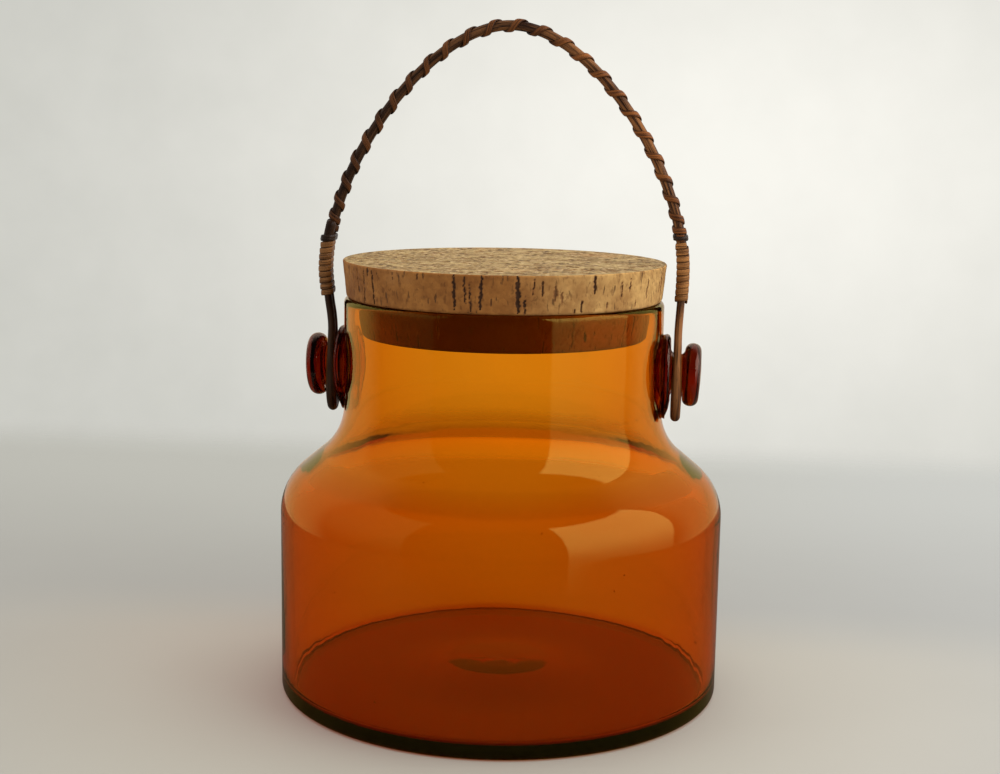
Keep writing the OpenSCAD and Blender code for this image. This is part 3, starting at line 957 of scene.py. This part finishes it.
def tube_flow(path, sides, radius):
    """Coordinates along and round a tube in metres, for streaks along it."""
    run = lengths_along(path) * MM
    turn = np.linspace(0, 2 * np.pi, sides, endpoint=False)
    flow = np.zeros((len(path), sides, 3))
    flow[:, :, 0] = run[:, None]
    flow[:, :, 1] = radius * MM * np.cos(turn)[None, :]
    flow[:, :, 2] = radius * MM * np.sin(turn)[None, :]
    return flow.reshape(-1, 3)


def build_cane(material):
    """The cane from end to end, shaved flatter beside the knobs."""
    path = np.vstack([cane_end(-1)[::-1], arch_path()[1:-1], cane_end(1)])
    path = resampled(path, 0.6)
    sides = 24
    swell = wavering(lengths_along(path), np.random.default_rng(2), 8, 0.03, 0.35)
    turn = np.linspace(0, 2 * np.pi, sides, endpoint=False)
    radius = CANE_R - 0.03 + 0.004 * swell
    ridges = 1 + 0.006 * np.sin(5 * turn + 1.0)
    section = radius[:, None, None] * np.stack([np.cos(turn) * ridges, np.sin(turn) * ridges], -1)[None]
    height = path[:, 2] - KNOB_Z
    shaved = ease((height + 6) / 14) * (1 - ease((height - 30) / 12))
    section[:, :, 0] *= (1 - 0.24 * shaved)[:, None]
    for k, share in ((0, 0.8), (1, 0.95), (-1, 0.8), (-2, 0.95)):
        section[k] *= share
    points, faces = swept(path, carried_normals(path, (1, 0, 0)), section)
    piece = mesh_piece("cane", points, faces, "handle", ["handle_cane"], material)
    add_attribute(piece, "flow", "FLOAT_VECTOR", tube_flow(path, sides, CANE_R))
    add_attribute(piece, "edge", "FLOAT", np.zeros(len(points)))
    return piece


# The strip's thickness as it looks, and the least room between it and the cane
SPIRAL_THICK = 0.62
BINDING_THICK = 0.5
STRIP_OFF = 0.04


def strip_outline(width, thick):
    """Section of a strip of peel: flat inside, crowned outside."""
    half = [[-0.5, 0.44], [-0.18, 0.5], [0.16, 0.48], [0.38, 0.36], [0.48, 0.18]]
    outline = [[out, -across] for out, across in half] + [[0.5, 0.0]] + half[::-1]
    return np.array(outline) * [thick, width]


# How much painted shade darkens the strip at each corner of its section, for the grooves between its turns
EDGE_SHADE = [1.0, 1.0, 0.6, 0.15, 0.0, 0.0, 0.0, 0.15, 0.6, 1.0, 1.0]


def build_strip(name, node, material, path, normals, width, thick, uneven):
    """A strip wound along a path, its width a little uneven."""
    run = lengths_along(path)
    rng = np.random.default_rng(sum(ord(c) for c in name))
    scale = 1 + uneven * wavering(run, rng, 6, 0.05, 0.7) / 3
    outline = strip_outline(width, thick)
    section = np.repeat(outline[None], len(path), axis=0)
    section[:, :, 1] *= scale[:, None]
    section[0, :, 1] *= 0.7
    section[-1, :, 1] *= 0.7
    points, faces = swept(path, normals, section)
    piece = mesh_piece(name, points, faces, "handle", [node], material)
    flow = np.zeros((len(path), len(outline), 3))
    flow[:, :, 0] = run[:, None] * MM
    flow[:, :, 1] = section[:, :, 1] * MM
    add_attribute(piece, "flow", "FLOAT_VECTOR", flow.reshape(-1, 3))
    add_attribute(piece, "edge", "FLOAT", np.tile(EDGE_SHADE, len(path)))
    return piece


# The strip has a few more turns at each end than its solid has, wound closer
MORE_WRAP = 1.35
TIGHT_PITCH = 2.6


def build_spiral(material):
    path = arch_path()
    run = lengths_along(path)
    count = len(path) // 2
    start = float(np.interp(WRAP_Z, path[:count, 2], run[:count]))
    end = float(np.interp(WRAP_Z, path[:count:-1, 2], run[:count:-1]))
    opening = 2 * OPENING_TURNS * (1 - math.exp(-WRAP_TURNS / OPENING_TURNS))
    pitch = (end - start - CLOSE_PITCH * opening) / (WRAP_TURNS - opening)
    slack = (pitch - CLOSE_PITCH) * OPENING_TURNS
    n = np.linspace(-MORE_WRAP, WRAP_TURNS + MORE_WRAP, WRAP_TURNS * 50 + 1)
    m = np.clip(n, 0, WRAP_TURNS)
    s = (
        start + pitch * m - slack * (1 - np.exp(-m / OPENING_TURNS))
        - slack * (np.exp((m - WRAP_TURNS) / OPENING_TURNS) - math.exp(-WRAP_TURNS / OPENING_TURNS))
    )
    s = s + TIGHT_PITCH * (n - m)

    def on_arch(places):
        return np.stack([np.interp(places, run, path[:, k]) for k in range(3)], -1)

    along = unit(on_arch(s + 1) - on_arch(s - 1))
    front = np.array([0.0, 1.0, 0.0])
    outward = unit(np.cross(along, front))
    turn = 2 * np.pi * n[:, None]
    normals = -np.cos(turn) * outward - np.sin(turn) * front
    radius = CANE_R + STRIP_OFF + SPIRAL_THICK / 2
    line = on_arch(s) + radius * normals
    return build_strip(
        "spiral_strip", "spiral_wrap", material, line, normals, WRAP_W, SPIRAL_THICK, 0.05
    )


def oval(f, radius):
    """Points and outward directions on the oval round the two canes, f turns from its start."""
    half = math.pi * radius
    straight = 2 * LEG_Y
    along = (f - np.floor(f)) * 2 * (half + straight)
    points = np.zeros((len(f), 2))
    outward = np.zeros((len(f), 2))
    for i, place in enumerate(along):
        sign = 1
        if place >= half + straight:
            place -= half + straight
            sign = -1
        if place < half:
            outward[i] = (math.cos(place / radius), math.sin(place / radius))
            points[i] = outward[i] * radius + np.array([0, LEG_Y])
        else:
            outward[i] = (-1, 0)
            points[i] = (-radius, LEG_Y - (place - half))
        outward[i] *= sign
        points[i] *= sign
    return points, outward


def pair_x(side, z):
    """Where the middle of the two strands stands, at a height."""
    arch = arch_half(side)
    return np.where(z < BEND_Z, leg_x(side, z), np.interp(z, arch[:, 2], arch[:, 0]))


def oval_winding(side, name, node, material, z0, pitch, turns, width, thick):
    """A strip wound round both strands of a leg."""
    f = np.linspace(0, turns, int(turns * 44) + 1)
    radius = CANE_R + STRIP_OFF + thick / 2
    places, outward = oval(f, radius)
    z = z0 + pitch * f
    line = np.stack([pair_x(side, z) + side * places[:, 0], side * places[:, 1], z], -1)
    normals = np.stack([side * outward[:, 0], side * outward[:, 1], np.zeros(len(f))], -1)
    return build_strip(name, node, material, line, normals, width, thick, 0.02)


# Each leg's side, its binding's pitch and turns, and the rise from the binding to the tie's middle
WINDINGS = {"left": (-1, BINDING_PITCH, BINDING_TURNS, 0.65), "right": (1, 2.3, 8.75, 1.4)}
# How much of its pitch a binding's strip covers
BINDING_COVER = 0.99
# The tie as it looks: rise for each turn, turns, width and thickness
TIE_RISE = 0.75
TIE_ROUND = 1.6
TIE_WIDE = 1.55
TIE_THICK = 0.85


# ======== stage, light and camera ========

FLOOR_HALF_X = 430.0
FLOOR_FRONT = -270.0
FLOOR_BACK = 470.0
FLOOR_FADE = 75.0
FAR_FADE = 120.0


FLOOR_COUNT = 61
FLOOR_Z = -0.1


def build_floor():
    """A pale floor whose edge fades into the backdrop, with painted light to the right and round the jar,
    and painted shade under it.
    """
    xs = np.linspace(-FLOOR_HALF_X, FLOOR_HALF_X, FLOOR_COUNT)
    ys = np.linspace(FLOOR_FRONT, FLOOR_BACK, FLOOR_COUNT)
    points = [(x, y, FLOOR_Z) for y in ys for x in xs]
    faces = []
    for i in range(FLOOR_COUNT - 1):
        for j in range(FLOOR_COUNT - 1):
            a = i * FLOOR_COUNT + j
            faces.append((a, a + 1, a + FLOOR_COUNT + 1, a + FLOOR_COUNT))
    floor = new_object("floor", new_mesh("floor", points, faces))
    material, g = new_material("floor_paper")
    place = g.place()
    x, y, _ = g.split(place)
    cover = g.times(
        g.ramp(g.minus(FLOOR_HALF_X * MM, g.math("ABSOLUTE", x)), 0.0, FLOOR_FADE * MM),
        g.ramp(g.minus(FLOOR_BACK * MM, y), 0.0, FAR_FADE * MM),
        g.ramp(g.minus(y, FLOOR_FRONT * MM), 0.0, FLOOR_FADE * MM),
    )
    sheet = g.mix(g.noise(place, 9.0), (0.352, 0.347, 0.322), (0.378, 0.373, 0.348))
    sheet = g.mix(g.ramp(y, 0.12, 0.36), sheet, (0.415, 0.415, 0.385))
    # painted light makes the sheet a little lighter to the right and round the front of the jar, and painted
    # shade makes it dark under the jar
    sheet = g.dyed(g.ramp(x, -0.05, 0.25), sheet, (1.06, 1.08, 1.13))
    reach = g.node("ShaderNodeVectorMath", {0: place}, operation="LENGTH").outputs["Value"]
    painted_light_round_jar = g.times(g.ramp(reach, 0.09, 0.30, 1.0, 0.0), g.ramp(y, 0.03, 0.11, 1.0, 0.0))
    sheet = g.dyed(painted_light_round_jar, sheet, (1.25, 1.20, 1.11))
    # painted shade: the sheet is dark under the jar's foot
    sheet = g.mix(g.ramp(reach, 0.074, 0.080, 1.0, 0.0), sheet, (0.17, 0.14, 0.12))
    # what the glass mirrors of the sheet is duller than the sheet
    ray = g.node("ShaderNodeLightPath").outputs
    mirrored = g.math("SUBTRACT", ray["Is Glossy Ray"], ray["Is Transmission Ray"], clamp=True)
    sheet = g.mix(mirrored, sheet, (0.16, 0.15, 0.135))
    paper = g.node("ShaderNodeBsdfDiffuse", {"Color": sheet})
    g.finish(g.blend(cover, g.node("ShaderNodeBsdfTransparent"), paper))
    floor.data.materials.append(material)


# Strength of the even light, height of the windows' top above the horizon, and degrees in a radian
SOFT_LIGHT = 0.68
WINDOW_TOP = 54.0
IN_DEGREES = 57.29578


def build_world():
    """A pale backdrop to look at, two soft windows to reflect, and even light for the rest."""
    world = bpy.data.worlds.new("studio")
    bpy.context.scene.world = world
    g = Graph(world)
    way = g.node("ShaderNodeTexCoord").outputs["Generated"]
    turn = {"Vector": way, "Angle": -math.radians(VIEW_TURN)}
    turned = g.node("ShaderNodeVectorRotate", turn, rotation_type="Z_AXIS")
    right, back, up = g.split(turned)
    # degrees round the jar from the camera's side, to the right and to the left, and degrees up
    round_right = g.times(g.math("ARCTAN2", right, g.times(back, -1.0)), IN_DEGREES)
    lift = g.times(g.math("ARCSINE", up), IN_DEGREES)
    under_top = g.ramp(lift, WINDOW_TOP - 1.5, WINDOW_TOP + 1.5, 1.0, 0.0)
    rise = g.ramp(lift, -14.0, 26.0, 0.2, 1.0)
    sill = g.ramp(lift, -40.0, -20.0)

    def window(start, end):
        past_start = g.ramp(g.minus(round_right, start), -1.0, 1.0)
        before_end = g.ramp(g.minus(round_right, end), -1.0, 1.0, 1.0, 0.0)
        return g.times(past_start, before_end, under_top, rise, sill)

    lean = g.times(g.larger(lift, 0.0), 0.25)
    right_window = g.times(window(34.0, g.plus(lean, 97.0)), 3.0)
    left_window = g.times(window(-121.0, -50.0), 0.45)
    behind = g.times(g.ramp(back, 0.0, 0.45, 0.0, 0.8), g.ramp(lift, 50.0, 70.0, 1.0, 0.3))
    reflected = g.plus(g.larger(g.plus(right_window, left_window), behind), 0.03)
    # the backdrop is brightest above the jar's right shoulder
    off_x = g.math("DIVIDE", g.minus(right, 0.14), 0.31)
    off_z = g.math("DIVIDE", g.plus(up, 0.022), 0.19)
    spread = g.plus(g.times(off_x, off_x), g.times(off_z, off_z))
    creases = g.ramp(g.noise(turned, 26.0), 0.2, 0.8, -0.06, 0.06, "LINEAR")
    glow = g.plus(g.math("EXPONENT", g.times(spread, -1.0)), creases)
    backdrop = g.mix(glow, (0.575, 0.575, 0.530), (0.945, 0.930, 0.865))
    warm = (1.0, 0.985, 0.95)
    even = tuple(SOFT_LIGHT * part for part in warm)
    ray = g.node("ShaderNodeLightPath").outputs
    colour = g.mix(ray["Is Glossy Ray"], even, g.mix(1.0, reflected, warm, "MULTIPLY"))
    colour = g.mix(g.larger(ray["Is Camera Ray"], ray["Is Transmission Ray"]), colour, backdrop)
    light = g.node("ShaderNodeBackground", {"Color": colour, "Strength": 1.0})
    g.node("ShaderNodeOutputWorld", {"Surface": light})


def placed(right, up, back, place):
    """The matrix of a lamp or camera with these axes, at a place."""
    matrix = Matrix.Identity(4)
    for row in range(3):
        matrix[row][0] = right[row]
        matrix[row][1] = up[row]
        matrix[row][2] = back[row]
        matrix[row][3] = place[row] * MM
    return matrix


# The height that the lamps point at
LAMPS_AIM = 100.0
# Lamps: name, turn, lift, distance, width, height, power in watts, colour
LAMPS = [
    ("right_window_lamp", 72.0, 32.0, 1300.0, 1300.0, 1000.0, 11.0, (1.0, 0.98, 0.94)),
    ("left_window_lamp", -85.0, 35.0, 1300.0, 1100.0, 1000.0, 3.5, (0.97, 0.98, 1.0)),
    ("high_lamp", 150.0, 70.0, 1400.0, 1400.0, 1400.0, 9.0, (1.0, 0.99, 0.96)),
]


def add_lamp(name, turn, lift, distance, width, height, power, colour):
    """A wide soft lamp, turn degrees to the right of the camera's side and lift degrees up."""
    data = bpy.data.lights.new(name, "AREA")
    data.shape = "RECTANGLE"
    data.size = width * MM
    data.size_y = height * MM
    data.energy = power
    data.color = colour
    lamp = new_object(name, data)
    angle = math.radians(-90 + VIEW_TURN + turn)
    rise = math.radians(lift)
    level = math.cos(rise)
    way = np.array([math.cos(angle) * level, math.sin(angle) * level, math.sin(rise)])
    side = unit(np.cross(np.array([0.0, 0.0, 1.0]), way))
    place = way * distance + np.array([0, 0, LAMPS_AIM])
    lamp.matrix_world = placed(side, np.cross(way, side), way, place)
    lamp.visible_camera = False
    lamp.visible_glossy = False
    lamp.visible_transmission = False


def build_camera():
    """The photograph's own camera."""
    level = math.cos(VIEW_PITCH)
    forward = np.array([math.sin(VIEW_YAW) * level, math.cos(VIEW_YAW) * level, -math.sin(VIEW_PITCH)])
    flat_right = np.array([math.cos(VIEW_YAW), -math.sin(VIEW_YAW), 0.0])
    flat_up = np.cross(flat_right, forward)
    right = math.cos(VIEW_ROLL) * flat_right + math.sin(VIEW_ROLL) * flat_up
    up = -math.sin(VIEW_ROLL) * flat_right + math.cos(VIEW_ROLL) * flat_up
    place = np.array([0.0, -VIEW_DISTANCE, VIEW_HEIGHT])
    turn = math.radians(VIEW_TURN)
    spin = np.array([
        [math.cos(turn), -math.sin(turn), 0.0],
        [math.sin(turn), math.cos(turn), 0.0],
        [0.0, 0.0, 1.0],
    ])
    data = bpy.data.cameras.new("camera")
    data.sensor_width = SENSOR_MM
    data.sensor_fit = "HORIZONTAL"
    data.lens = VIEW_FOCAL_PX * SENSOR_MM / PICTURE_W
    data.clip_start = 0.01
    data.clip_end = 20.0
    camera = new_object("camera", data)
    camera.matrix_world = placed(spin @ right, spin @ up, -(spin @ forward), spin @ place)
    bpy.context.scene.camera = camera


# ======== making it all ========

build_camera()
build_floor()
build_world()
for lamp in LAMPS:
    add_lamp(*lamp)

jar_glass = glass_material("jar_glass", (0.975, 0.765, 0.08), JAR_MIRROR)
knob_glass = glass_material("knob_glass", (0.912, 0.76, 0.05), KNOB_MIRROR)
cork = cork_material()
cane = fibre_material(
    "cane", (0.026, 0.008, 0.003), (0.27, 0.105, 0.030), (0.02, 0.01, 0.006), 1500.0, 0.04, 0.88
)
strip = fibre_material(
    "strip", (0.055, 0.016, 0.004), (0.28, 0.090, 0.018), (0.018, 0.007, 0.003), 2600.0, 0.04, 0.62
)
binding = fibre_material(
    "binding", (0.11, 0.038, 0.009), (0.50, 0.215, 0.060), (0.03, 0.012, 0.004), 2600.0, 0.04, 0.50
)
tie = fibre_material(
    "tie", (0.010, 0.006, 0.004), (0.045, 0.022, 0.012), (0.008, 0.005, 0.003), 2600.0, 0.2, 0.62
)

build_jar(jar_glass)
build_knob(-1, knob_glass)
build_knob(1, knob_glass)
build_cork(cork)
build_cane(cane)
build_spiral(strip)
for word, (side, pitch, turns, rise) in WINDINGS.items():
    oval_winding(
        side, word + "_binding_strip", word + "_binding", binding,
        BINDING_Z, pitch, turns, pitch * BINDING_COVER, BINDING_THICK,
    )
    tie_middle = BINDING_Z + pitch * (turns + 0.5) + rise
    oval_winding(
        side, word + "_tie_strip", word + "_tie", tie,
        tie_middle - TIE_RISE * TIE_ROUND / 2, TIE_RISE, TIE_ROUND, TIE_WIDE, TIE_THICK,
    )

view = bpy.context.scene.view_settings
view.view_transform = "Standard"
